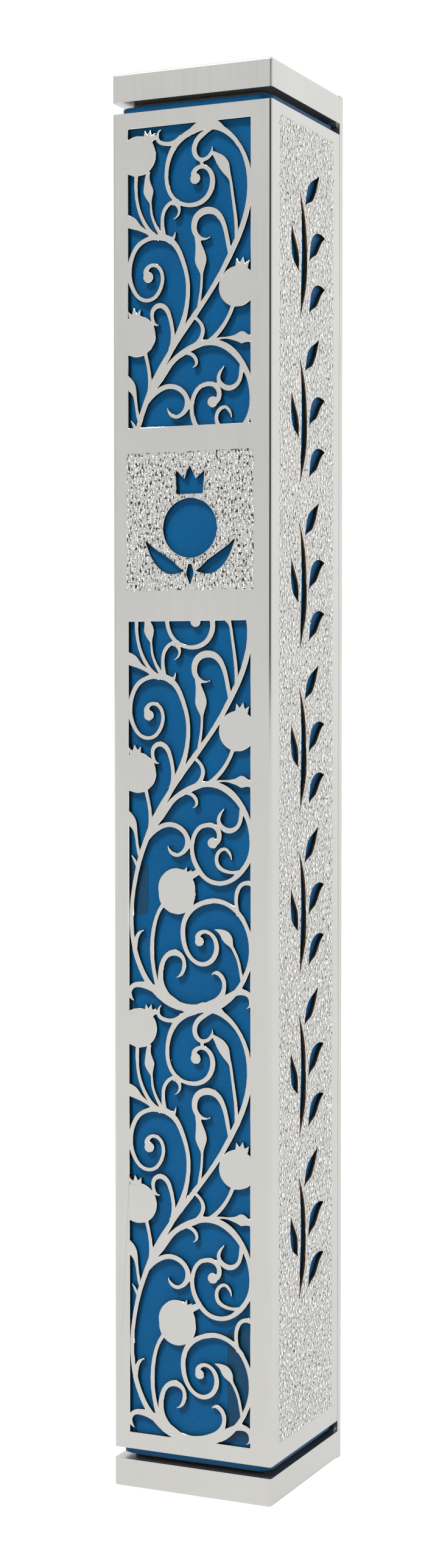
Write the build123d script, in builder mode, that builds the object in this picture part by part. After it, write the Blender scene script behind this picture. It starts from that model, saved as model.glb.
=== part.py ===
from build123d import *

import os
from math import cos, radians, sin

# Mezuzah case: a pierced steel sleeve on a blue tube, held between the two ends of a wall frame.
# The origin is on the back face of the back plate, half-way up, midway between the two wall
# screws. +Z is up, +X is to the right, and the front faces -Y. All lengths are in millimetres.

os.makedirs("parts", exist_ok=True)

# ---------------------------------------------------------------- driving dimensions
width = 20.0  # outer width of sleeve, caps and back plate
depth = 21.7  # front of the sleeve to the wall
sleeve_height = 154.7
gap = 1.3  # shadow gap between the sleeve and each cap
cap_height = 3.3
plate_thickness = 1.5
sheet = 0.5  # steel sheet of the sleeve
bond = 0.05  # adhesive line between the sleeve and the tube
clearance = 0.05  # running clearance between the case and the wall frame

tube_wall = 1.2
tube_proud = 0.7  # how far the tube stands out of each end of the sleeve
tube_corner = 1.6
sleeve_bend = 0.35  # outer radius of the two vertical folds
cap_edge = 0.3
plate_edge = 0.6
plug_depth = 12.0
plug_web = 1.6
braze = 0.5  # radius of the brazed fillet between each cap and the back plate

screw_hole_radius = 1.6
screw_head_radius = 2.7
screw_spacing = 120.0

# ---------------------------------------------------------------- derived places
half_width = width / 2
case_back = -plate_thickness - clearance
tube_front = -depth + sheet + bond
tube_depth = case_back - tube_front
tube_width = width - 2 * (sheet + bond)
tube_height = sleeve_height + 2 * tube_proud
tube_centre = (case_back + tube_front) / 2
cap_under = sleeve_height / 2 + gap  # height of each cap's inner face
overall_height = 2 * (cap_under + cap_height)
cap_depth = depth - plate_thickness


# ---------------------------------------------------------------- drawing tapered strokes
thinnest_tip = 0.08


def stroke(points, samples_per_step=2):
    """A face along a smooth line; each point is (x, y, width of the stroke there)."""
    spots = [Vector(x, y) for x, y, _ in points]
    line = Spline(*spots, mode=Mode.PRIVATE)
    reach = [0.0]
    for before, after in zip(spots, spots[1:]):
        reach.append(reach[-1] + (after - before).length)
    left, right = [], []
    for step in range(len(points) - 1):
        for sample in range(samples_per_step):
            share = sample / samples_per_step
            place_stroke_pair(line, points, reach, step, share, left, right)
    place_stroke_pair(line, points, reach, len(points) - 2, 1.0, left, right)
    with BuildSketch(mode=Mode.PRIVATE) as face:
        with BuildLine():
            Spline(*left)
            Line(left[-1], right[-1])
            Spline(*right[::-1])
            Line(right[0], left[0])
        make_face()
    return face.sketch.face()


def smooth_width(points, step, share):
    """The stroke's width between two of its points, on a smooth (Catmull-Rom) curve."""
    last = len(points) - 1
    before, start, end, after = (points[min(max(step + offset, 0), last)][2] for offset in (-1, 0, 1, 2))
    rise = (end - before) * share
    bend = (2 * before - 5 * start + 4 * end - after) * share**2
    twist = (3 * start - before - 3 * end + after) * share**3
    return max(thinnest_tip, start + (rise + bend + twist) / 2)


def place_stroke_pair(line, points, reach, step, share, left, right):
    """One pair of edge points, beside the stroke's centre line."""
    at = (reach[step] + share * (reach[step + 1] - reach[step])) / reach[-1]
    half = smooth_width(points, step, share) / 2
    centre = line.position_at(at)
    along = line.tangent_at(at)
    across = Vector(-along.Y, along.X) * half
    left.append(centre + across)
    right.append(centre - across)


def disc(x, y, radius):
    """A round face, for the ball at the heart of a scroll or a fruit's body."""
    with BuildSketch(mode=Mode.PRIVATE) as face:
        with Locations((x, y)):
            Circle(radius)
    return face.sketch.face()


def crown(x, y, lean, size):
    """The three-pointed crown of a pomegranate, leaning by an angle from upright."""
    outline = [(-0.75, -0.5), (-0.8, 0.75), (-0.3, 0.3), (0.0, 1.0), (0.35, 0.3), (0.85, 0.7), (0.75, -0.5)]
    with BuildSketch(mode=Mode.PRIVATE) as face:
        with BuildLine():
            Polyline(*[(size * px, size * py) for px, py in outline], close=True)
        make_face()
    return Pos(x, y) * Rot(0, 0, -lean) * face.sketch.face()


# ---------------------------------------------------------------- the vine
# One repeat of the vine, as (x, distance below the joint at its top, stroke width).
vine_pitch = 50.1
vine_strokes = [
    # main stem: over the top right, down the diagonal, along the left side, into the next joint
    [(1.0, 0.1, 1.1), (3.2, 0.3, 0.8), (5.75, 2.3, 0.5), (7.2, 6.0, 0.6), (6.8, 10.4, 0.65),
     (5.1, 14.3, 0.65), (2.9, 18.0, 0.55), (0.2, 21.5, 0.6), (-2.4, 24.9, 0.6), (-4.4, 28.1, 0.8),
     (-6.3, 32.3, 0.6), (-7.4, 36.6, 0.5), (-7.7, 40.9, 0.5), (-7.05, 44.5, 0.6), (-5.3, 47.8, 0.7),
     (-2.6, 49.8, 0.9), (-0.8, 50.35, 0.6)],
    # the joint itself
    [(-0.3, 0.4, 0.1), (1.0, -0.05, 0.9), (2.9, -0.05, 1.0), (4.4, 0.9, 0.1)],
    # bowl above the joint, with a hook at each end
    [(2.55, 46.25, 0.1), (3.1, 46.0, 0.45), (3.85, 46.5, 0.55), (4.1, 47.6, 0.5), (3.7, 48.7, 0.7),
     (2.6, 49.6, 0.9), (0.4, 50.3, 1.1), (-1.8, 49.9, 0.9), (-3.3, 48.8, 0.9), (-3.95, 47.2, 0.7),
     (-3.85, 45.6, 0.6), (-3.25, 44.4, 0.6), (-2.1, 43.9, 0.75), (-1.1, 44.5, 0.5),
     (-0.95, 45.5, 0.5), (-1.3, 46.35, 0.4), (-1.95, 46.75, 0.1)],
    # arms of the joint
    [(-1.5, 50.1, 1.0), (-4.0, 48.6, 1.0), (-5.4, 48.0, 0.85), (-6.6, 47.8, 0.7), (-7.5, 48.0, 0.6),
     (-7.95, 48.7, 0.5), (-7.8, 49.3, 0.4), (-7.4, 49.7, 0.1)],
    [(1.5, 50.2, 1.1), (3.5, 49.5, 0.9), (5.0, 48.45, 0.7), (6.2, 48.05, 0.75), (7.2, 48.4, 0.6),
     (7.45, 49.2, 0.45), (6.9, 49.9, 0.1)],
    # lower scroll
    [(3.4, 49.7, 0.9), (5.9, 47.7, 0.6), (6.9, 45.9, 0.55), (7.5, 43.6, 0.6), (6.9, 40.6, 0.55),
     (5.7, 38.9, 0.55), (4.4, 38.05, 0.55), (2.9, 37.75, 0.6), (1.3, 38.1, 0.6), (-0.1, 38.95, 0.65),
     (-0.95, 40.3, 0.6), (-1.1, 41.9, 0.6), (-0.75, 43.4, 0.55), (0.1, 44.6, 0.5), (1.35, 45.1, 0.55),
     (2.5, 44.65, 0.6), (3.1, 43.6, 0.6), (3.0, 42.3, 0.55), (2.2, 41.45, 0.45), (1.3, 41.4, 0.5),
     (0.75, 41.95, 0.6), (0.95, 42.55, 0.5)],
    # upper scroll and the hook inside it
    [(1.5, 0.1, 0.9), (-0.2, 0.65, 0.75), (-1.7, 1.6, 0.7), (-2.7, 3.1, 0.6), (-3.1, 4.8, 0.5),
     (-3.0, 6.4, 0.5), (-2.3, 7.8, 0.5), (-1.0, 8.65, 0.45), (0.5, 8.8, 0.55), (1.9, 8.15, 0.6),
     (2.6, 6.9, 0.65), (2.55, 5.6, 0.6), (1.85, 4.75, 0.5), (0.95, 4.65, 0.5), (0.3, 5.25, 0.6),
     (0.5, 5.95, 0.5)],
    [(3.0, 0.35, 0.2), (1.5, 0.95, 0.6), (0.6, 1.8, 0.6), (0.4, 2.9, 0.6), (1.1, 3.8, 0.5),
     (2.0, 3.7, 0.45), (2.5, 3.2, 0.4), (2.6, 2.5, 0.1)],
    [(1.2, 3.8, 0.4), (1.45, 4.65, 0.4)],
    # bud on its stem, under the upper scroll
    [(5.6, 13.2, 0.4), (5.5, 10.4, 0.4), (5.1, 7.7, 0.35), (4.8, 6.2, 0.4), (4.45, 5.5, 0.85),
     (4.1, 4.7, 1.3), (3.55, 3.95, 1.15), (3.0, 3.4, 0.6), (2.5, 3.0, 0.2)],
    # middle hook and the bud that hangs from it
    [(4.9, 14.8, 0.5), (4.45, 12.7, 0.5), (3.95, 11.0, 0.6), (3.1, 9.9, 0.75), (1.9, 9.6, 0.85),
     (0.8, 10.1, 0.8), (0.35, 11.2, 0.7), (0.7, 12.3, 0.6), (1.5, 12.75, 0.35), (2.35, 12.6, 0.1)],
    [(0.7, 12.2, 0.6), (0.9, 13.3, 0.75), (1.15, 14.6, 1.35), (1.2, 15.3, 1.4), (1.25, 16.0, 0.9),
     (1.3, 16.6, 0.4), (1.25, 18.2, 0.3), (0.9, 20.4, 0.35)],
    # hook beside the upper left fruit, and its link to the crown
    [(-1.2, 1.0, 0.6), (-2.4, 1.65, 0.5), (-3.5, 1.6, 0.5), (-4.2, 1.15, 0.45), (-4.25, 0.6, 0.35),
     (-3.9, 0.0, 0.1)],
    [(-4.1, 0.8, 0.4), (-5.3, 0.9, 0.6)],
    # two stems of the upper left fruit, one with a bud
    [(-6.95, 4.7, 0.45), (-7.0, 6.6, 0.4), (-6.7, 8.6, 0.4), (-6.1, 10.1, 0.45), (-5.0, 11.6, 0.5),
     (-4.0, 12.3, 0.6)],
    [(-5.35, 4.6, 0.4), (-5.55, 5.9, 0.8), (-5.4, 6.9, 1.25), (-5.3, 7.6, 0.8), (-5.15, 8.2, 0.3),
     (-5.05, 9.2, 0.3), (-4.6, 10.6, 0.35), (-3.6, 12.2, 0.5)],
    # leaf from the left border
    [(-8.6, 9.8, 1.2), (-7.4, 10.35, 1.3), (-6.6, 10.9, 0.7), (-5.6, 11.5, 0.4), (-4.4, 12.2, 0.6)],
    # left scroll, the stem that carries it, and the curls around its top
    [(-2.6, 12.6, 0.8), (-3.8, 12.15, 0.7), (-5.2, 12.2, 0.55), (-6.7, 12.9, 0.55), (-7.6, 14.4, 0.55),
     (-7.85, 16.2, 0.55), (-7.35, 17.9, 0.5), (-6.2, 19.1, 0.45), (-4.9, 19.1, 0.45),
     (-3.85, 17.9, 0.45), (-3.65, 16.5, 0.45), (-4.25, 15.45, 0.45), (-5.15, 15.3, 0.45),
     (-5.75, 15.95, 0.6), (-5.5, 16.65, 0.5)],
    [(-3.2, 12.3, 0.7), (-2.0, 13.2, 0.65), (-1.1, 14.9, 0.55), (-0.5, 17.0, 0.5), (-0.45, 19.2, 0.5),
     (-0.8, 21.2, 0.6), (-1.6, 23.2, 0.7), (-2.6, 25.0, 0.7)],
    [(-3.4, 12.5, 0.6), (-3.65, 10.6, 0.45), (-3.4, 9.2, 0.45), (-2.7, 8.45, 0.45), (-1.6, 8.25, 0.4)],
    [(-2.4, 8.5, 0.4), (-1.7, 8.75, 0.5), (-1.5, 9.3, 0.35), (-1.7, 9.9, 0.25), (-2.2, 10.2, 0.1)],
    [(-2.6, 12.8, 0.6), (-2.2, 12.3, 0.35), (-2.0, 11.7, 0.1)],
    # hook over the middle left fruit
    [(-2.7, 25.2, 0.5), (-2.35, 23.5, 0.45), (-2.4, 22.6, 0.45), (-2.7, 21.3, 0.5), (-3.3, 20.2, 0.6),
     (-4.1, 19.9, 0.6), (-4.85, 20.4, 0.5), (-4.95, 21.2, 0.45), (-4.7, 21.9, 0.4), (-4.1, 22.1, 0.1)],
    # stem of the middle left fruit, leaf and thorn from the left border
    [(-5.95, 24.8, 0.45), (-5.45, 26.8, 0.4), (-5.25, 28.6, 0.45), (-5.6, 30.6, 0.5)],
    [(-8.6, 28.1, 1.3), (-7.6, 29.0, 1.1), (-7.2, 30.0, 0.5), (-7.0, 31.2, 0.35), (-6.6, 33.0, 0.4)],
    [(-6.9, 34.2, 0.4), (-7.35, 33.3, 0.3), (-7.7, 32.8, 0.1)],
    # stem of the right fruit, the leaf below it and a short curl
    [(5.3, 20.1, 0.5), (4.75, 21.5, 0.45), (3.9, 22.8, 0.5), (2.9, 23.8, 0.5), (1.6, 24.4, 0.25)],
    [(2.4, 24.4, 0.35), (4.6, 24.05, 0.3), (5.6, 24.1, 0.8), (6.3, 24.1, 1.4), (7.0, 24.25, 0.9),
     (8.0, 24.35, 0.7)],
    [(0.0, 21.4, 0.4), (1.0, 22.0, 0.4), (1.45, 22.9, 0.5), (1.25, 23.8, 0.5), (0.2, 24.8, 0.6)],
    # round scroll of the lower right, from the stem right round to its ball
    [(-5.0, 29.7, 0.4), (-3.7, 28.0, 0.75), (-2.2, 26.2, 0.65), (-0.4, 25.1, 0.75), (1.6, 24.45, 0.7),
     (3.4, 24.6, 0.75), (4.8, 25.3, 0.8), (6.0, 26.5, 0.7), (7.0, 28.2, 0.6), (7.5, 30.2, 0.55),
     (7.5, 31.8, 0.55), (7.0, 33.3, 0.6), (6.1, 34.5, 0.6), (4.9, 35.4, 0.55), (3.4, 35.75, 0.55),
     (1.9, 35.3, 0.55), (0.85, 34.2, 0.6), (0.15, 32.7, 0.55), (0.05, 31.5, 0.5), (0.4, 30.2, 0.5),
     (1.1, 29.4, 0.5), (2.1, 29.1, 0.55), (3.1, 29.4, 0.6), (3.5, 30.2, 0.6), (3.25, 31.0, 0.6),
     (2.65, 31.3, 0.5)],
    [(6.3, 26.9, 0.5), (6.2, 28.1, 0.5), (5.8, 29.2, 0.5), (4.8, 29.7, 0.65), (3.8, 29.3, 0.6),
     (3.4, 28.5, 0.45), (3.65, 27.8, 0.35), (4.1, 27.2, 0.1)],
    [(6.2, 34.3, 0.45), (5.1, 34.45, 0.4), (4.2, 34.3, 0.45), (3.4, 33.8, 0.5), (3.15, 32.9, 0.45),
     (3.5, 32.1, 0.45), (4.2, 31.8, 0.4), (4.8, 32.3, 0.35), (5.0, 33.0, 0.1)],
    # scroll and curl to the left of it
    [(-5.95, 31.5, 0.3), (-5.2, 30.4, 0.5), (-4.3, 29.65, 0.6), (-2.9, 29.15, 0.6),
     (-1.5, 29.5, 0.6), (-0.65, 30.4, 0.6), (-0.5, 31.4, 0.7), (-1.1, 32.3, 0.5),
     (-1.9, 32.65, 0.45), (-2.6, 32.35, 0.4), (-3.0, 31.6, 0.1)],
    [(-0.7, 31.2, 0.8), (0.2, 31.6, 0.7)],
    [(-1.4, 25.7, 0.4), (-0.1, 25.6, 0.45), (0.5, 26.1, 0.45), (0.65, 26.7, 0.35), (0.15, 27.15, 0.1)],
    # lower fruit: its link to the round scroll and its stem
    [(-0.9, 35.4, 1.0), (0.9, 34.5, 0.6)],
    [(-3.2, 37.9, 0.5), (-4.4, 39.7, 0.45), (-4.95, 41.9, 0.5), (-5.05, 44.4, 0.5), (-4.75, 46.4, 0.5),
     (-4.2, 48.4, 0.6)],
    # curl beside the left stem, loop at the right border, bud inside the lower scroll
    [(-7.3, 43.8, 0.6), (-7.1, 42.6, 0.5), (-6.7, 41.8, 0.4), (-6.1, 41.5, 0.1)],
    [(5.9, 39.4, 0.5), (5.6, 37.8, 0.45), (5.75, 36.6, 0.5), (6.3, 35.8, 0.5), (7.1, 35.6, 0.55),
     (8.0, 36.2, 0.6)],
    [(2.95, 41.05, 0.15), (3.6, 41.25, 0.6), (4.25, 41.7, 1.2), (4.7, 42.3, 1.1), (5.05, 42.9, 0.45),
     (5.75, 44.2, 0.35), (6.1, 45.5, 0.35), (6.4, 47.2, 0.35)],
]
# balls at the hearts of the scrolls, the fruits' bodies, and two small fillets where strokes touch,
# as (x, distance below, radius)
vine_discs = [(0.5, 5.9, 0.62), (-5.45, 16.6, 0.62), (0.98, 42.5, 0.56), (2.65, 31.15, 0.62),
              (-6.75, 2.75, 2.3), (-6.85, 23.25, 2.35), (5.75, 18.35, 2.3), (-1.9, 36.5, 2.35),
              (-1.85, 37.1, 2.35), (3.72, 17.25, 0.38), (3.45, 29.15, 0.3)]
# crowns, as (x, distance below, lean from upright, size)
vine_crowns = [(-5.35, 0.75, 15, 0.85), (-7.2, 20.95, -5, 0.95), (6.3, 16.1, 10, 1.0),
               (-0.55, 34.95, 45, 0.9)]


def vine_faces(top):
    """Every face of one repeat of the vine, with its upper joint at the given height."""
    faces = [stroke([(x, top - below, thick) for x, below, thick in points]) for points in vine_strokes]
    faces += [disc(x, top - below, radius) for x, below, radius in vine_discs]
    faces += [crown(x, top - below, lean, size) for x, below, lean, size in vine_crowns]
    return faces


# ---------------------------------------------------------------- front and side layout
window_left, window_right = -8.0, 7.4
upper_window = (41.4, 75.5)
lower_window = (-75.4, 19.2)
vine_joints = [75.1 - vine_pitch * repeat for repeat in range(3)]

# pierced pomegranate on the square panel between the windows, with two leaves and a stem below it;
# thin bridges of steel part its openings
fruit_x, fruit_z, fruit_radius = -0.2, 29.8, 3.4
fruit_crown_rise, fruit_crown_size = 4.95, 2.2
fruit_leaf = [(0.8, -4.9, 0.15), (2.4, -4.5, 1.5), (4.0, -3.4, 1.4), (5.6, -1.4, 0.15)]
fruit_stem = [(0.0, -6.4, 0.15), (0.0, -5.2, 0.9), (0.0, -4.1, 0.4)]
fruit_strokes = [
    [(fruit_x + side * x, fruit_z + y, thick) for x, y, thick in shape]
    for side, shape in ((-1, fruit_leaf), (1, fruit_stem), (1, fruit_leaf))
]

# pierced sprigs on each side, up the middle of the stippled field
side_centre = (case_back - depth) / 2
sprig_pitch = 19.0
sprig_count = 7
sprig_rise = 5.0  # how far the middle sprig is above half height
sprig_strokes = [
    [(-1.8, -7.8, 0.15), (-0.9, -4.2, 1.5), (-0.6, 0.0, 1.6), (-0.9, 3.4, 1.2), (-2.0, 6.6, 0.15)],
    [(0.9, -7.0, 0.15), (2.3, -5.2, 2.1), (3.7, -4.2, 1.6), (5.6, -3.7, 0.15)],
    [(0.9, -1.0, 0.15), (2.3, 0.8, 2.1), (3.7, 1.8, 1.6), (5.6, 2.3, 0.15)],
    [(-2.2, -2.6, 0.15), (-3.1, -1.1, 1.9), (-3.8, 0.5, 1.5), (-4.3, 2.4, 0.15)],
    [(-0.3, 5.2, 0.15), (1.1, 6.7, 1.9), (2.4, 7.8, 1.5), (3.8, 9.2, 0.15)],
]

# ---------------------------------------------------------------- openwork sleeve
# the openings are drawn first: windows less the vine, the fruit, and one side's sprigs
front_inside = Plane.XZ.offset(depth - 2 * sheet)
windows = []
for low, high in (upper_window, lower_window):
    vine = [face for top in vine_joints if top - vine_pitch < high and top > low for face in vine_faces(top)]
    with BuildSketch(front_inside) as window:
        with Locations(((window_left + window_right) / 2, (low + high) / 2)):
            Rectangle(window_right - window_left, high - low)
        add(vine, mode=Mode.SUBTRACT)
    windows.append(window.sketch)
with BuildSketch(front_inside) as fruit:
    add([stroke(points) for points in fruit_strokes])
    add(disc(fruit_x, fruit_z, fruit_radius))
    add(crown(fruit_x, fruit_z + fruit_crown_rise, 0, fruit_crown_size))
with BuildSketch(Plane.YZ) as sprigs:
    for row in range(sprig_count):
        rise = sprig_rise + (row - (sprig_count - 1) / 2) * sprig_pitch
        for points in sprig_strokes:
            add(stroke([(side_centre + x, rise + y, thick) for x, y, thick in points]))

with BuildPart() as openwork_sleeve:
    with BuildSketch(Plane.XY.offset(-sleeve_height / 2)):
        with Locations((0, (case_back - depth) / 2)):
            Rectangle(width, depth + case_back)
        with Locations((0, (case_back + tube_front - bond) / 2 + sheet)):
            Rectangle(width - 2 * sheet, case_back - tube_front + bond + 2 * sheet, mode=Mode.SUBTRACT)
    extrude(amount=sleeve_height)
    folds = openwork_sleeve.edges().filter_by(Axis.Z).group_by(Axis.Y)[0]
    fillet(folds, sleeve_bend)
    for opening in windows + [fruit.sketch]:
        extrude(to_extrude=opening, amount=3 * sheet, mode=Mode.SUBTRACT)
    extrude(to_extrude=sprigs.sketch, amount=width, both=True, mode=Mode.SUBTRACT)
openwork_sleeve.part.label = "openwork_sleeve"

# ---------------------------------------------------------------- blue core tube
with BuildPart() as core_tube:
    with BuildSketch(Plane.XY.offset(-tube_height / 2)):
        with Locations((0, tube_centre)):
            RectangleRounded(tube_width, tube_depth, tube_corner)
            RectangleRounded(tube_width - 2 * tube_wall, tube_depth - 2 * tube_wall,
                             tube_corner - tube_wall, mode=Mode.SUBTRACT)
    extrude(amount=tube_height)
core_tube.part.label = "core_tube"


# ---------------------------------------------------------------- end plugs, pressed into the tube
# each is a moulded cup that fills the tube's mouth, and its closed end bears on the cap
plug_width = tube_width - 2 * tube_wall
plug_length = tube_depth - 2 * tube_wall
plug_top = cap_under - clearance
plug_seat = tube_height / 2 - plug_depth

with BuildPart() as top_plug:
    with BuildSketch(Plane.XY.offset(plug_seat)):
        with Locations((0, tube_centre)):
            RectangleRounded(plug_width, plug_length, tube_corner - tube_wall)
    extrude(amount=plug_top - plug_seat)
    with BuildSketch(Plane.XY.offset(plug_seat)):
        with Locations((0, tube_centre)):
            RectangleRounded(plug_width - 2 * plug_web, plug_length - 2 * plug_web, plug_web)
            Rectangle(plug_web, plug_length, mode=Mode.SUBTRACT)
            Rectangle(plug_width, plug_web, mode=Mode.SUBTRACT)
    extrude(amount=plug_depth - 2 * plug_web, mode=Mode.SUBTRACT)
top_plug.part.label = "top_plug"

with BuildPart() as bottom_plug:
    mirror(top_plug.part, about=Plane.XY)
bottom_plug.part.label = "bottom_plug"

# ---------------------------------------------------------------- back plate
with BuildPart() as back_plate:
    with BuildSketch(Plane.XZ):
        Rectangle(width, overall_height)
    extrude(amount=plate_thickness)
    back_edges = back_plate.faces().sort_by(Axis.Y)[-1].edges()
    fillet(back_edges, plate_edge)
    with Locations(Plane.XZ.offset(plate_thickness)):
        with Locations((0, screw_spacing / 2), (0, -screw_spacing / 2)):
            CounterSinkHole(screw_hole_radius, screw_head_radius)
back_plate.part.label = "back_plate"


# ---------------------------------------------------------------- end caps, brazed to the back plate
with BuildPart() as top_cap:
    with BuildSketch(Plane.XY.offset(cap_under)):
        with Locations((0, -plate_thickness - cap_depth / 2)):
            Rectangle(width, cap_depth)
    extrude(amount=cap_height)
    fillet(top_cap.edges().filter_by(Axis.Z).group_by(Axis.Y)[0], cap_edge)
    outer_rim = top_cap.faces().sort_by(Axis.Z)[-1].edges().sort_by(Axis.Y)[:-1]
    fillet(outer_rim, cap_edge)
    with BuildSketch(Plane.YZ.offset(-half_width + cap_edge)):
        with BuildLine():
            Line((-plate_thickness, cap_under), (-plate_thickness, cap_under - braze))
            RadiusArc((-plate_thickness, cap_under - braze), (-plate_thickness - braze, cap_under), braze)
            Line((-plate_thickness - braze, cap_under), (-plate_thickness, cap_under))
        make_face()
    extrude(amount=width - 2 * cap_edge)
top_cap.part.label = "top_cap"

with BuildPart() as bottom_cap:
    mirror(top_cap.part, about=Plane.XY)
bottom_cap.part.label = "bottom_cap"

# ---------------------------------------------------------------- rolled parchment and its wrapper
scroll_height = 120.0
scroll_inner, scroll_pitch, scroll_turns = 3.4, 0.85, 4.0
parchment = 0.35
wrapper_radius, wrapper_film = 7.6, 0.2
wrapper_below, wrapper_above = 1.0, 3.0  # how far the wrapper runs on past the scroll
wrapper_foot = -tube_height / 2 + plug_depth + 0.5


def roll_points(step_degrees=30):
    """The rolled sheet seen from above, as a stroke of even thickness."""
    steps = int(scroll_turns * 360 / step_degrees)
    for step in range(steps + 1):
        angle = radians(step * step_degrees)
        radius = scroll_inner + scroll_pitch * step * step_degrees / 360
        yield radius * cos(angle), tube_centre + radius * sin(angle), parchment


with BuildPart() as parchment_scroll:
    with BuildSketch(Plane.XY.offset(wrapper_foot + wrapper_below)):
        add(stroke(list(roll_points())))
    extrude(amount=scroll_height)
parchment_scroll.part.label = "parchment_scroll"

with BuildPart() as scroll_wrapper:
    with BuildSketch(Plane.XY.offset(wrapper_foot)):
        with Locations((0, tube_centre)):
            Circle(wrapper_radius)
            Circle(wrapper_radius - wrapper_film, mode=Mode.SUBTRACT)
    extrude(amount=wrapper_below + scroll_height + wrapper_above)
scroll_wrapper.part.label = "scroll_wrapper"

# ---------------------------------------------------------------- adhesive between sleeve and tube
# each patch is (x, z, width, height), on the front of the tube
patch_places = [(0.0, 40.0, 14.0, 1.6), (0.0, 21.0, 14.0, 2.0), (-7.1, -11.7, 2.6, 6.0),
                (6.0, -68.5, 3.4, 13.0)]
patch_corner = 0.7
with BuildPart() as adhesive_patches:
    with BuildSketch(Plane.XZ.offset(-tube_front)):
        for x, z, patch_width, patch_height in patch_places:
            with Locations((x, z)):
                RectangleRounded(patch_width, patch_height, patch_corner)
    extrude(amount=bond)
adhesive_patches.part.label = "adhesive_patches"

# ---------------------------------------------------------------- one STEP file for each piece
pieces = [openwork_sleeve, core_tube, top_plug, bottom_plug, back_plate, top_cap, bottom_cap,
          parchment_scroll, scroll_wrapper, adhesive_patches]
for piece in pieces:
    export_step(piece.part, f"parts/{piece.part.label}.step")
    print(piece.part.label, "solids", len(piece.part.solids()), "volume", round(piece.part.volume, 1))
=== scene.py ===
# %% [markdown]
# # A pierced steel mezuzah case
#
# A slim square case that hangs on a doorpost. A blue tube holds a rolled parchment. A folded steel
# sleeve, cut through with a vine and its fruit, is bonded round the tube. The tube and sleeve sit
# between the two caps of a steel wall frame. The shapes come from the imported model, and this script
# gives them their edges, their surfaces and their light.

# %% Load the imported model
import math
import random

import bpy
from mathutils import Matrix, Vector
from mathutils.bvhtree import BVHTree


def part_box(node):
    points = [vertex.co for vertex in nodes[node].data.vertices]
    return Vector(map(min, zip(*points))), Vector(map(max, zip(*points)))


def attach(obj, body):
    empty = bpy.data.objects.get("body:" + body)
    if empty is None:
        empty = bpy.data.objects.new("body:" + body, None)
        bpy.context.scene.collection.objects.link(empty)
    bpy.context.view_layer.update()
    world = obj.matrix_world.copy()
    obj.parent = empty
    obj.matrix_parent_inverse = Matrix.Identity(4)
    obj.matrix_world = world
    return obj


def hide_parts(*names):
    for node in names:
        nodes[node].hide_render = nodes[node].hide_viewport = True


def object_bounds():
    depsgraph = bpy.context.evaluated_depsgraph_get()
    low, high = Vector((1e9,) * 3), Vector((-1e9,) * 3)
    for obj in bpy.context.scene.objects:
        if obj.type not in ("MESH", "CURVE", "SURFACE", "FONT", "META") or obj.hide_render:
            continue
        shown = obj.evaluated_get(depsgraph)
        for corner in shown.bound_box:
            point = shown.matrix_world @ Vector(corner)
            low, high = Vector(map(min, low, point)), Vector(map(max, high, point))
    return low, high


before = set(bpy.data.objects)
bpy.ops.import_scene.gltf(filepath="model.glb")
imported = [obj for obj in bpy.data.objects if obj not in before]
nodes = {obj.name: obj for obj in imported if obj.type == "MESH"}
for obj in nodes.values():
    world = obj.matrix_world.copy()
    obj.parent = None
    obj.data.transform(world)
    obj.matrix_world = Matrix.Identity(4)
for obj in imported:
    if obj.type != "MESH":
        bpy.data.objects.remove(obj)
cad_box = [list(corner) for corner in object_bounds()]
MM = 0.001
print("nodes:", sorted(nodes))

# %% [markdown]
# ## Where things are
#
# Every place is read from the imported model, so a piece made here can't drift away from it. The
# sleeve gives the front and the two sides. The case hangs on a wall, so the floor lies a little way
# below the lowest corner of the whole model and doesn't darken its foot.

# %% Read the places
sleeve_low, sleeve_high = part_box("openwork_sleeve")
front_y = sleeve_low.y
side_x = sleeve_high.x
sheet = 0.5 * MM
fold_radius = 0.35 * MM
corner_margin = 1.2 * MM
floor_z = cad_box[0][2] - 50 * MM
print("front face at", round(front_y / MM, 2), "mm, floor at", round(floor_z / MM, 2), "mm")

# %% [markdown]
# ## The camera
#
# A long object looks right only from the right place: here a short way to its right and a little
# above the middle, close enough for the upper and lower ends to draw together slightly. The small
# shift slides the frame without turning the camera, which would tilt the upright edges.

# %% Place the camera
view_azimuth, view_elevation = math.radians(24.54), math.radians(2.24)
view_distance = 291.3 * MM
view_target = Vector((0, -11.7, -0.5)) * MM
toward_camera = Vector((
    math.sin(view_azimuth) * math.cos(view_elevation),
    -math.cos(view_azimuth) * math.cos(view_elevation),
    math.sin(view_elevation),
))
bpy.ops.object.select_all(action="DESELECT")
bpy.ops.object.camera_add(location=view_target + toward_camera * view_distance)
camera = bpy.context.object
camera.rotation_mode = "QUATERNION"
camera.rotation_quaternion = (-toward_camera).to_track_quat("-Z", "Y")
camera.data.lens = 56.6
camera.data.shift_x, camera.data.shift_y = -0.0087, 0.0039
camera.data.clip_start = 10 * MM
bpy.context.scene.camera = camera
print("camera at", [round(value, 3) for value in camera.location])

# %% [markdown]
# ## Helpers for materials
#
# Procedural materials are built from nodes. These helpers add a node with its settings, mix two
# colours, start a material and put it on a piece, so that each material below reads as a short list.

# %% Helpers for nodes
def add_node(tree, kind, inputs=None, **settings):
    """A node of one kind, with its settings, and its inputs given as values or sockets."""
    node = tree.nodes.new(kind)
    for name, value in settings.items():
        setattr(node, name, value)
    for name, value in (inputs or {}).items():
        if isinstance(value, bpy.types.NodeSocket):
            tree.links.new(value, node.inputs[name])
        else:
            node.inputs[name].default_value = value
    return node


def blend_colours(tree, mask, first, second):
    """The colour socket of a mix from one colour to another by a mask."""
    mix = add_node(tree, "ShaderNodeMix", data_type="RGBA")
    for index, value in ((0, mask), (6, first), (7, second)):
        if isinstance(value, bpy.types.NodeSocket):
            tree.links.new(value, mix.inputs[index])
        else:
            mix.inputs[index].default_value = value
    return mix.outputs[2]


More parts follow.
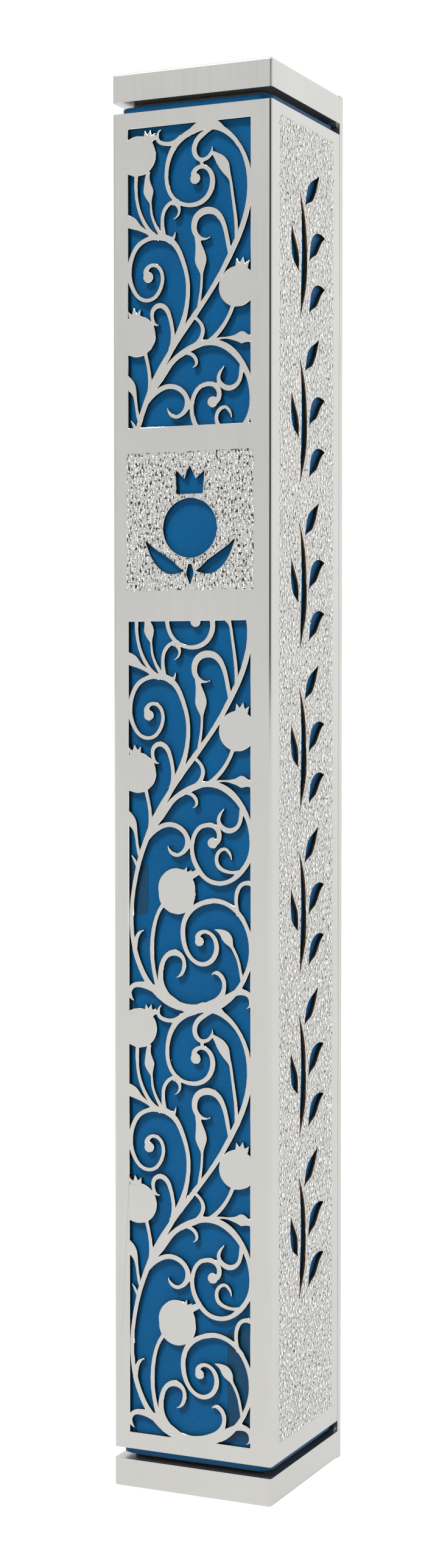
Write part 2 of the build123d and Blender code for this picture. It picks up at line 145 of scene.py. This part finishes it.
def new_material(name):
    """An empty node material with its Principled shader; returns the material, tree and shader."""
    material = bpy.data.materials.new(name)
    material.use_nodes = True
    tree = material.node_tree
    return material, tree, tree.nodes["Principled BSDF"]


def dress(piece, material):
    """Gives a piece one material in place of any it has."""
    piece.data.materials.clear()
    piece.data.materials.append(material)


# %% [markdown]
# ## Shared effects
#
# Three effects turn up on more than one finish. Grain is the fine upright scratching of brushed
# sheet. Speckle is the small soft lumpiness of paint and moulded plastic. Band is a mask that is one
# between two heights along an axis, and is used to find the etched fields and the sheet's cut edges.
# Each is a node group, built once and placed with its own values.

# %% Build the shared groups
def new_group(name, inputs, outputs):
    """An empty shader group with named float inputs and outputs, and its two end nodes."""
    group = bpy.data.node_groups.new(name, "ShaderNodeTree")
    for socket, kind, default in inputs:
        made = group.interface.new_socket(socket, in_out="INPUT", socket_type=kind)
        made.default_value = default
    for socket in outputs:
        group.interface.new_socket(socket, in_out="OUTPUT", socket_type="NodeSocketFloat")
    return group, group.nodes.new("NodeGroupInput"), group.nodes.new("NodeGroupOutput")


FLOAT = "NodeSocketFloat"
grain_group, start, end = new_group(
    "upright_grain", [("Across", FLOAT, 9000.0), ("Along", FLOAT, 90.0)], ["Grain"])
place = add_node(grain_group, "ShaderNodeTexCoord")
stretch = add_node(grain_group, "ShaderNodeCombineXYZ", {
    "X": start.outputs["Across"], "Y": start.outputs["Across"], "Z": start.outputs["Along"]})
scaled = add_node(grain_group, "ShaderNodeVectorMath", operation="MULTIPLY")
grain_group.links.new(place.outputs["Object"], scaled.inputs[0])
grain_group.links.new(stretch.outputs[0], scaled.inputs[1])
noise = add_node(grain_group, "ShaderNodeTexNoise", {
    "Vector": scaled.outputs[0], "Scale": 1.0, "Detail": 3.0})
grain_group.links.new(noise.outputs["Fac"], end.inputs["Grain"])

speckle_group, start, end = new_group(
    "speckle", [("Scale", FLOAT, 3000.0), ("Detail", FLOAT, 3.0)], ["Speckle"])
place = add_node(speckle_group, "ShaderNodeTexCoord")
noise = add_node(speckle_group, "ShaderNodeTexNoise", {
    "Vector": place.outputs["Object"], "Scale": start.outputs["Scale"], "Detail": start.outputs["Detail"]})
speckle_group.links.new(noise.outputs["Fac"], end.inputs["Speckle"])

band_group, start, end = new_group(
    "band", [("Value", FLOAT, 0.0), ("Low", FLOAT, 0.0), ("High", FLOAT, 1.0)], ["Mask"])
above = add_node(band_group, "ShaderNodeMath", operation="GREATER_THAN")
below = add_node(band_group, "ShaderNodeMath", operation="LESS_THAN")
both = add_node(band_group, "ShaderNodeMath", operation="MULTIPLY")
for test, limit in ((above, "Low"), (below, "High")):
    band_group.links.new(start.outputs["Value"], test.inputs[0])
    band_group.links.new(start.outputs[limit], test.inputs[1])
band_group.links.new(above.outputs[0], both.inputs[0])
band_group.links.new(below.outputs[0], both.inputs[1])
band_group.links.new(both.outputs[0], end.inputs["Mask"])


def use_group(tree, group, inputs):
    """Places a shared group in a material and returns its first output."""
    node = tree.nodes.new("ShaderNodeGroup")
    node.node_tree = group
    for name, value in inputs.items():
        if isinstance(value, bpy.types.NodeSocket):
            tree.links.new(value, node.inputs[name])
        else:
            node.inputs[name].default_value = value
    return node.outputs[0]


def math_node(tree, operation, first, second=0.0):
    """The result socket of one sum or comparison."""
    node = add_node(tree, "ShaderNodeMath", operation=operation)
    for index, value in enumerate((first, second)):
        if isinstance(value, bpy.types.NodeSocket):
            tree.links.new(value, node.inputs[index])
        else:
            node.inputs[index].default_value = value
    return node.outputs[0]


print("groups:", [group.name for group in bpy.data.node_groups])

# %% [markdown]
# ## Brushed steel
#
# The sheet, the caps and the back plate are the same satin stainless steel, brushed upright. Its
# colour hardly changes: the grain shows mostly in how sharply it reflects, so the noise drives the
# roughness and a very low bump, and only a little of the colour.

# %% Brushed steel
STEEL = (0.58, 0.575, 0.553, 1.0)
STEEL_DULL = (0.48, 0.475, 0.453, 1.0)


def brushed_surface(tree, shader):
    """Wires the brushed steel's roughness and bump, and returns its colour socket."""
    grain = use_group(tree, grain_group, {"Across": 9000.0, "Along": 120.0})
    cloud = use_group(tree, speckle_group, {"Scale": 90.0, "Detail": 2.0})
    rough = add_node(tree, "ShaderNodeMapRange", {"Value": grain, "To Min": 0.24, "To Max": 0.42})
    tree.links.new(rough.outputs[0], shader.inputs["Roughness"])
    bump = add_node(tree, "ShaderNodeBump", {
        "Height": grain, "Strength": 0.35, "Distance": 0.004 * MM})
    tree.links.new(bump.outputs[0], shader.inputs["Normal"])
    shader.inputs["Metallic"].default_value = 1.0
    shade = math_node(tree, "MULTIPLY", math_node(tree, "ADD", grain, cloud), 0.5)
    return blend_colours(tree, shade, STEEL_DULL, STEEL)


steel, tree, shader = new_material("satin_brushed_steel")
tree.links.new(brushed_surface(tree, shader), shader.inputs["Base Color"])
for name in ("back_plate", "top_cap", "bottom_cap"):
    dress(nodes[name], steel)
print("steel on the wall frame")

# %% [markdown]
# ## The sleeve's steel
#
# The sleeve is the same steel with the marks of how it was made. The cutting beam left the walls of
# each opening scorched brown, and the rim of each cut and the two folds are smooth and shiny; the rim
# of each cut is also given a near-white colour, a painted highlight. The etched fields hold small
# upright pits, and the shade in them is painted on as near-black flecks. Each mark is found by place
# and by the way a face looks: a wall of an opening lies within the sheet's thickness and doesn't face
# the way the sheet does, and a rim leans halfway between the two.

# %% Sleeve steel
SCORCH = (0.20, 0.125, 0.07, 1.0)
# Near black painted shade, laid in the etched pits and round the foot of each droplet.
PAINTED_PIT_SHADE = (0.035, 0.033, 0.030, 1.0)
# A near-white painted highlight for the rims of the cuts, brighter than the steel itself.
GLINT = (0.92, 0.91, 0.89, 1.0)
pit_shade_threshold = 0.575
polish = 0.7
panel_low, panel_high = Vector((-8.2, 0, 22.7)) * MM, Vector((7.8, 0, 38.5)) * MM
side_low, side_high = Vector((0, -19.4, -75.2)) * MM, Vector((0, -3.4, 76.1)) * MM


def slanted(tree, outward):
    """A mask of the faces that lean halfway between facing outward and facing along the sheet."""
    return use_group(tree, band_group, {
        "Value": math_node(tree, "ABSOLUTE", outward), "Low": 0.5, "High": 0.95})


sleeve_steel, tree, shader = new_material("pierced_sleeve_steel")
colour = brushed_surface(tree, shader)
place = add_node(tree, "ShaderNodeTexCoord")
spot = add_node(tree, "ShaderNodeSeparateXYZ", {"Vector": place.outputs["Object"]})
facing = add_node(tree, "ShaderNodeSeparateXYZ", {"Vector": place.outputs["Normal"]})
distance_out = math_node(tree, "ABSOLUTE", spot.outputs["X"])
turned_front = math_node(tree, "LESS_THAN", math_node(tree, "ABSOLUTE", facing.outputs["Y"]), 0.5)
turned_side = math_node(tree, "LESS_THAN", math_node(tree, "ABSOLUTE", facing.outputs["X"]), 0.5)
sheet_reach = 1.02 * sheet
inside_corner = math_node(tree, "LESS_THAN", distance_out, side_x - corner_margin)
in_front_sheet = math_node(tree, "LESS_THAN", spot.outputs["Y"], front_y + sheet_reach)
front_wall = math_node(
    tree, "MULTIPLY", math_node(tree, "MULTIPLY", turned_front, inside_corner), in_front_sheet)
behind_corner = math_node(tree, "GREATER_THAN", spot.outputs["Y"], front_y + corner_margin)
in_side_sheet = math_node(tree, "GREATER_THAN", distance_out, side_x - sheet_reach)
side_wall = math_node(
    tree, "MULTIPLY", math_node(tree, "MULTIPLY", turned_side, behind_corner), in_side_sheet)
cut_wall = math_node(tree, "MAXIMUM", front_wall, side_wall)
bend = math_node(tree, "MULTIPLY", math_node(tree, "GREATER_THAN", distance_out, side_x - fold_radius),
                 math_node(tree, "LESS_THAN", spot.outputs["Y"], front_y + fold_radius))
front_slant = math_node(tree, "MULTIPLY", in_front_sheet, slanted(tree, facing.outputs["Y"]))
side_slant = math_node(tree, "MULTIPLY", math_node(tree, "MULTIPLY", in_side_sheet, behind_corner),
                       slanted(tree, facing.outputs["X"]))
chamfer = math_node(tree, "MULTIPLY", math_node(tree, "MAXIMUM", front_slant, side_slant),
                    math_node(tree, "SUBTRACT", 1.0, bend))

# Painted shade: dark flecks in the etched fields stand for the shade held in the pits.
pits = use_group(tree, grain_group, {"Across": 4600.0, "Along": 2300.0})
pit_shade_mask = math_node(tree, "GREATER_THAN", pits, pit_shade_threshold)
in_panel = math_node(tree, "MULTIPLY", use_group(tree, band_group, {
    "Value": spot.outputs["X"], "Low": panel_low.x, "High": panel_high.x}), use_group(tree, band_group, {
        "Value": spot.outputs["Z"], "Low": panel_low.z, "High": panel_high.z}))
in_field = math_node(tree, "MULTIPLY", use_group(tree, band_group, {
    "Value": spot.outputs["Y"], "Low": side_low.y, "High": side_high.y}), use_group(tree, band_group, {
        "Value": spot.outputs["Z"], "Low": side_low.z, "High": side_high.z}))
on_side = math_node(tree, "MULTIPLY", in_field, in_side_sheet)
on_front = math_node(tree, "MULTIPLY", in_panel, in_front_sheet)
etched_pit_shade = math_node(tree, "MULTIPLY", math_node(tree, "MAXIMUM", on_side, on_front), pit_shade_mask)
# The etched fields take the painted pit shade, the cut walls their scorch, and the rims a painted
# highlight.
colour = blend_colours(tree, etched_pit_shade, colour, PAINTED_PIT_SHADE)
colour = blend_colours(tree, cut_wall, colour, SCORCH)
# The rims get the painted highlight; their lower roughness below is real polish.
colour = blend_colours(tree, chamfer, colour, GLINT)
tree.links.new(colour, shader.inputs["Base Color"])
brushed = shader.inputs["Roughness"].links[0].from_socket
polished = math_node(tree, "MAXIMUM", chamfer, bend)
kept_roughness = math_node(tree, "SUBTRACT", 1.0, math_node(tree, "MULTIPLY", polished, polish))
satin = math_node(tree, "MULTIPLY", brushed, kept_roughness)
tree.links.new(satin, shader.inputs["Roughness"])

# %% [markdown]
# ## The sleeve itself
#
# The model's sleeve has the true outline, but its edges are perfectly sharp, and real sheet never
# is: a hair of roundness along each cut catches a bright line. A copy of the mesh is merged, and a
# very small bevel is laid along every sharp edge. Faces that lie square to the case are then shaded
# flat, because smooth shading would bend the reflection in the long thin triangles of a flat sheet.

# %% Make the sleeve
def copy_node(name, new_name):
    """A piece with its own merged copy of a node's mesh, ready to shape."""
    piece = bpy.data.objects.new(new_name, nodes[name].data.copy())
    bpy.context.scene.collection.objects.link(piece)
    bpy.ops.object.select_all(action="DESELECT")
    piece.select_set(True)
    bpy.context.view_layer.objects.active = piece
    bpy.ops.object.mode_set(mode="EDIT")
    bpy.ops.mesh.select_all(action="SELECT")
    bpy.ops.mesh.remove_doubles(threshold=0.001 * MM)
    bpy.ops.object.mode_set(mode="OBJECT")
    return piece


def round_edges(piece, width):
    """Lays a small bevel along every sharp edge, and smooths the faces that aren't square to the case."""
    bevel = piece.modifiers.new("rounded_edges", "BEVEL")
    bevel.width = width
    bevel.segments = 1
    bevel.limit_method = "ANGLE"
    bevel.angle_limit = math.radians(50)
    bevel.use_clamp_overlap = False
    bpy.ops.object.modifier_apply(modifier=bevel.name)
    bpy.ops.object.shade_smooth_by_angle(angle=math.radians(35))
    for face in piece.data.polygons:
        if max(abs(value) for value in face.normal) > 0.9995:
            face.use_smooth = False


def triangles(piece):
    """How many triangles a piece has."""
    return sum(len(face.vertices) - 2 for face in piece.data.polygons)


sleeve = copy_node("openwork_sleeve", "pierced_sleeve")
before = triangles(sleeve)
round_edges(sleeve, 0.03 * MM)
dress(sleeve, sleeve_steel)
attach(sleeve, "case")
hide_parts("openwork_sleeve")
print("sleeve triangles", before, "->", triangles(sleeve))

# %% [markdown]
# ## The hammered fields
#
# The panel round the fruit and both sides are covered in small raised droplets, longer than they are
# wide, that break up the reflection into glitter. One droplet is modelled from a low
# cylinder: its upper rim is drawn in and lowered, and its foot is opened and sunk into the sheet. It
# is then stamped thousands of times into one mesh, each stamp a little different. A
# droplet is left out wherever the sheet under it is cut away, which a ray cast at the sleeve tells.

# %% Model one droplet
def pick_points(piece, test):
    """Selects, in edit mode, only the points of a piece whose place passes a test."""
    bpy.ops.object.mode_set(mode="EDIT")
    bpy.ops.mesh.select_mode(type="VERT")
    bpy.ops.mesh.select_all(action="DESELECT")
    bpy.ops.object.mode_set(mode="OBJECT")
    for vert in piece.data.vertices:
        vert.select = test(vert.co)
    bpy.ops.object.mode_set(mode="EDIT")


bpy.ops.object.select_all(action="DESELECT")
bpy.ops.mesh.primitive_cylinder_add(
    vertices=6, radius=1.0, depth=1.0, end_fill_type="TRIFAN", location=(0, 0, 0.5))
droplet = bpy.context.object
bpy.ops.object.transform_apply(location=True, rotation=False, scale=False)
pick_points(droplet, lambda place: place.z < 0.5 and place.xy.length < 0.5)
bpy.ops.mesh.delete(type="VERT")
bpy.ops.object.mode_set(mode="OBJECT")
pick_points(droplet, lambda place: place.z > 0.5 and place.xy.length > 0.5)
bpy.ops.transform.resize(value=(0.55, 0.55, 1.0))
bpy.ops.transform.translate(value=(0, 0, -0.25))
bpy.ops.object.mode_set(mode="OBJECT")
pick_points(droplet, lambda place: place.z < 0.5)
bpy.ops.transform.translate(value=(0, 0, -0.15))
bpy.ops.object.mode_set(mode="OBJECT")
droplet_points = [vert.co.copy() for vert in droplet.data.vertices]
droplet_faces = [tuple(face.vertices) for face in droplet.data.polygons]
bpy.data.objects.remove(droplet)
print("droplet:", len(droplet_points), "points,", len(droplet_faces), "faces")

# %% Stamp the droplets over a field
sheet_mesh = nodes["openwork_sleeve"].data
sheet_surface = BVHTree.FromPolygons(
    [vert.co for vert in sheet_mesh.vertices], [face.vertices for face in sheet_mesh.polygons])


PROBES = (
    (0, 0), (1, 0), (-1, 0), (0, 1), (0, -1), (0.7, 0.7), (-0.7, 0.7), (0.7, -0.7), (-0.7, -0.7))


def solid_under(centre, across, outward, reach_across, reach_up):
    """True if the sheet carries on under the whole of a droplet."""
    for share_across, share_up in PROBES:
        probe = centre + across * (share_across * reach_across) + Vector((0, 0, share_up * reach_up))
        hit = sheet_surface.ray_cast(probe + outward * MM, -outward, 1.05 * MM)
        if hit[0] is None:
            return False
    return True


def stamp_field(name, origin, across, outward, size, pitch, droplet_size, height, seed):
    """One mesh of scattered droplets over a rectangle of sheet; the three sizes are (across, up)."""
    dice = random.Random(seed)
    points, faces = [], []
    columns, rows = int(size[0] / pitch[0]), int(size[1] / pitch[1])
    for column in range(columns):
        for row in range(rows):
            along = (column + dice.uniform(0.1, 0.9)) * pitch[0]
            rise = (row + dice.uniform(0.1, 0.9)) * pitch[1]
            half_across = droplet_size[0] / 2 * dice.uniform(0.6, 1.3)
            half_up = droplet_size[1] / 2 * dice.uniform(0.45, 1.5)
            lean = math.radians(dice.gauss(0, 14))
            tall = height * dice.uniform(0.5, 1.3)
            centre = origin + across * along + Vector((0, 0, rise))
            if not solid_under(centre, across, outward, half_across + 0.12 * MM, half_up + 0.12 * MM):
                continue
            first = len(points)
            for point in droplet_points:
                x, z = point.x * half_across, point.y * half_up
                turned_x = x * math.cos(lean) - z * math.sin(lean)
                turned_z = x * math.sin(lean) + z * math.cos(lean)
                landed = centre + across * turned_x + Vector((0, 0, turned_z))
                points.append(landed + outward * (point.z * tall))
            faces += [tuple(first + index for index in face) for face in droplet_faces]
    mesh = bpy.data.meshes.new(name)
    mesh.from_pydata(points, [], faces)
    mesh.update()
    piece = bpy.data.objects.new(name, mesh)
    bpy.context.scene.collection.objects.link(piece)
    bpy.ops.object.select_all(action="DESELECT")
    piece.select_set(True)
    bpy.context.view_layer.objects.active = piece
    bpy.ops.object.mode_set(mode="EDIT")
    bpy.ops.mesh.select_all(action="SELECT")
    bpy.ops.mesh.normals_make_consistent(inside=False)
    bpy.ops.object.mode_set(mode="OBJECT")
    bpy.ops.object.shade_smooth()
    print(name, "droplets", len(points) // len(droplet_points), "triangles", triangles(piece))
    return piece


# %% Stamp the three fields
field_size = (side_high.y - side_low.y, side_high.z - side_low.z)
panel_droplets = stamp_field(
    "panel_droplets", Vector((panel_low.x, front_y, panel_low.z)), Vector((1, 0, 0)), Vector((0, -1, 0)),
    (panel_high.x - panel_low.x, panel_high.z - panel_low.z), (0.42 * MM, 0.5 * MM), (0.3 * MM, 0.38 * MM),
    0.11 * MM, 1)
right_droplets = stamp_field(
    "right_side_droplets", Vector((side_x, side_low.y, side_low.z)), Vector((0, 1, 0)), Vector((1, 0, 0)),
    field_size, (0.56 * MM, 0.8 * MM), (0.36 * MM, 0.58 * MM), 0.12 * MM, 2)
left_droplets = stamp_field(
    "left_side_droplets", Vector((-side_x, side_low.y, side_low.z)), Vector((0, 1, 0)), Vector((-1, 0, 0)),
    field_size, (0.56 * MM, 0.8 * MM), (0.36 * MM, 0.58 * MM), 0.12 * MM, 3)

droplet_steel, tree, shader = new_material("hammered_droplet_steel")
shader.inputs["Metallic"].default_value = 1.0
place = add_node(tree, "ShaderNodeTexCoord")
spot = add_node(tree, "ShaderNodeSeparateXYZ", {"Vector": place.outputs["Object"]})
above_side = math_node(tree, "SUBTRACT", math_node(tree, "ABSOLUTE", spot.outputs["X"]), side_x)
above_front = math_node(tree, "SUBTRACT", front_y, spot.outputs["Y"])
rise = math_node(tree, "MAXIMUM", above_side, above_front)
tarnish = use_group(tree, speckle_group, {"Scale": 1500.0, "Detail": 2.0})
# Painted shade: a thin ring at each droplet's foot, where it meets the sheet, is painted near black. Its
# depth wanders with the tarnish noise.
foot_shade_depth = math_node(tree, "MULTIPLY", tarnish, 0.03 * MM)
foot_shade = math_node(tree, "LESS_THAN", rise, foot_shade_depth)
tarnish_mask = add_node(tree, "ShaderNodeMapRange", {"Value": tarnish, "From Min": 0.55, "From Max": 0.75})
colour = blend_colours(tree, tarnish_mask.outputs[0], (0.80, 0.80, 0.785, 1), (0.50, 0.50, 0.49, 1))
tree.links.new(blend_colours(tree, foot_shade, colour, PAINTED_PIT_SHADE), shader.inputs["Base Color"])
rough = add_node(tree, "ShaderNodeMapRange", {"Value": tarnish, "To Min": 0.12, "To Max": 0.3})
tree.links.new(rough.outputs[0], shader.inputs["Roughness"])
for piece in (panel_droplets, right_droplets, left_droplets):
    dress(piece, droplet_steel)
    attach(piece, "case")

# %% [markdown]
# ## The blue coat
#
# The tube is painted aluminium: a deep blue baked on in a fine orange peel. The bump is soft and
# small, fine pale flecks catch the light in it, and a slower noise shifts the blue a little so that
# no two openings look quite alike.

# %% Blue coat
blue, tree, shader = new_material("baked_blue_coat")
drift = use_group(tree, speckle_group, {"Scale": 160.0, "Detail": 3.0})
peel = use_group(tree, speckle_group, {"Scale": 3600.0, "Detail": 2.0})
flake = use_group(tree, speckle_group, {"Scale": 9000.0, "Detail": 1.0})
fleck = add_node(tree, "ShaderNodeMapRange", {"Value": flake, "From Min": 0.68, "From Max": 0.85})
colour = blend_colours(tree, drift, (0.0, 0.058, 0.165, 1), (0.0, 0.095, 0.245, 1))
colour = blend_colours(tree, fleck.outputs[0], colour, (0.02, 0.20, 0.37, 1))
tree.links.new(colour, shader.inputs["Base Color"])
rough = add_node(tree, "ShaderNodeMapRange", {"Value": peel, "To Min": 0.34, "To Max": 0.52})
tree.links.new(rough.outputs[0], shader.inputs["Roughness"])
bump = add_node(tree, "ShaderNodeBump", {"Height": peel, "Strength": 0.7, "Distance": 0.06 * MM})
tree.links.new(bump.outputs[0], shader.inputs["Normal"])
shader.inputs["Specular IOR Level"].default_value = 0.12
dress(nodes["core_tube"], blue)

# %% [markdown]
# ## Plastic, parchment, film and glue
#
# The end plugs are moulded black plastic, faintly grained by the mould. The parchment is cream skin
# with a slight mottle, and is left blank. The wrapper is thin clear film. The glue between the tube
# and the sleeve has set to a lumpy, half clear gloss that shows the blue through it.

# %% Plugs, parchment and film
plastic, tree, shader = new_material("moulded_black_plastic")
mould = use_group(tree, speckle_group, {"Scale": 2200.0, "Detail": 3.0})
colour = blend_colours(tree, mould, (0.012, 0.012, 0.013, 1), (0.035, 0.035, 0.037, 1))
tree.links.new(colour, shader.inputs["Base Color"])
bump = add_node(tree, "ShaderNodeBump", {"Height": mould, "Strength": 0.4, "Distance": 0.02 * MM})
tree.links.new(bump.outputs[0], shader.inputs["Normal"])
shader.inputs["Roughness"].default_value = 0.42
for name in ("top_plug", "bottom_plug"):
    dress(nodes[name], plastic)

parchment, tree, shader = new_material("blank_parchment")
mottle = use_group(tree, speckle_group, {"Scale": 220.0, "Detail": 5.0})
colour = blend_colours(tree, mottle, (0.62, 0.50, 0.33, 1), (0.84, 0.76, 0.60, 1))
tree.links.new(colour, shader.inputs["Base Color"])
bump = add_node(tree, "ShaderNodeBump", {"Height": mottle, "Strength": 0.3, "Distance": 0.03 * MM})
tree.links.new(bump.outputs[0], shader.inputs["Normal"])
shader.inputs["Roughness"].default_value = 0.75
dress(nodes["parchment_scroll"], parchment)

film, tree, shader = new_material("clear_film")
crease = use_group(tree, speckle_group, {"Scale": 700.0, "Detail": 4.0})
bump = add_node(tree, "ShaderNodeBump", {"Height": crease, "Strength": 0.8, "Distance": 0.06 * MM})
tree.links.new(bump.outputs[0], shader.inputs["Normal"])
shader.inputs["Base Color"].default_value = (0.9, 0.93, 0.95, 1)
shader.inputs["Roughness"].default_value = 0.08
shader.inputs["Alpha"].default_value = 0.3
dress(nodes["scroll_wrapper"], film)

glue, tree, shader = new_material("set_glue")
lump = use_group(tree, speckle_group, {"Scale": 1300.0, "Detail": 2.0})
bump = add_node(tree, "ShaderNodeBump", {"Height": lump, "Strength": 0.7, "Distance": 0.05 * MM})
tree.links.new(bump.outputs[0], shader.inputs["Normal"])
shader.inputs["Base Color"].default_value = (0.0, 0.075, 0.18, 1)
shader.inputs["Roughness"].default_value = 0.2
shader.inputs["Alpha"].default_value = 0.4
dress(nodes["adhesive_patches"], glue)

# %% [markdown]
# ## Floor and light
#
# A pale floor under the case, a soft light from the upper left, and a white room. The side of the
# room behind the camera is left dark, because polished metal is drawn by what it reflects: that
# darkness gives the folds their thin dark line and the droplets their contrast.

# %% Floor
bpy.ops.object.select_all(action="DESELECT")
bpy.ops.mesh.primitive_plane_add(size=60.0, location=(0, 0, floor_z))
floor = bpy.context.object
floor.name = "floor"
floor_paint, tree, shader = new_material("pale_floor")
shader.inputs["Base Color"].default_value = (0.93, 0.93, 0.925, 1)
shader.inputs["Roughness"].default_value = 0.9
dress(floor, floor_paint)

# %% Soft light from the upper left
key_place = Vector((-0.30, -0.80, 1.30))
bpy.ops.object.light_add(type="SUN", location=key_place)
key = bpy.context.object
key.rotation_mode = "QUATERNION"
key.rotation_quaternion = (-key_place).to_track_quat("-Z", "Y")
key.data.energy = 3.4
key.data.angle = math.radians(14)

# %% The white room
world = bpy.data.worlds.new("white_room")
bpy.context.scene.world = world
world.use_nodes = True
tree = world.node_tree
background = tree.nodes["Background"]


GLOW_BEHIND, GLOW_ALL_ROUND = 0.35, 0.95
CAMERA_SIDE_DARKNESS = 0.93
SOFT_LIGHT_WITHHELD = 0.62


def lobe(direction, start_cosine, full_cosine):
    """A soft patch of the room round one direction, from zero at its rim to one at its heart."""
    toward = add_node(tree, "ShaderNodeVectorMath", operation="DOT_PRODUCT")
    tree.links.new(room_place.outputs["Generated"], toward.inputs[0])
    toward.inputs[1].default_value = direction
    return add_node(tree, "ShaderNodeMapRange", {
        "Value": toward.outputs["Value"], "From Min": start_cosine, "From Max": full_cosine}).outputs[0]


room_place = add_node(tree, "ShaderNodeTexCoord")
dark_side = lobe(toward_camera, math.cos(math.radians(40)), math.cos(math.radians(24)))
bright_back = lobe((0.42, 0.91, 0.0), 0.2, 1.0)
glow = math_node(tree, "ADD", math_node(tree, "MULTIPLY", bright_back, GLOW_BEHIND), GLOW_ALL_ROUND)
dimming = math_node(tree, "SUBTRACT", 1.0, math_node(tree, "MULTIPLY", dark_side, CAMERA_SIDE_DARKNESS))
shaded = math_node(tree, "MULTIPLY", glow, dimming)
ray = add_node(tree, "ShaderNodeLightPath")
withheld = math_node(tree, "MULTIPLY", ray.outputs["Is Diffuse Ray"], SOFT_LIGHT_WITHHELD)
lit = math_node(tree, "MULTIPLY", shaded, math_node(tree, "SUBTRACT", 1.0, withheld))
strength = math_node(tree, "MAXIMUM", lit, ray.outputs["Is Camera Ray"])
tree.links.new(strength, background.inputs["Strength"])
background.inputs["Color"].default_value = (1.0, 1.0, 1.0, 1)
bpy.context.scene.view_settings.view_transform = "Standard"
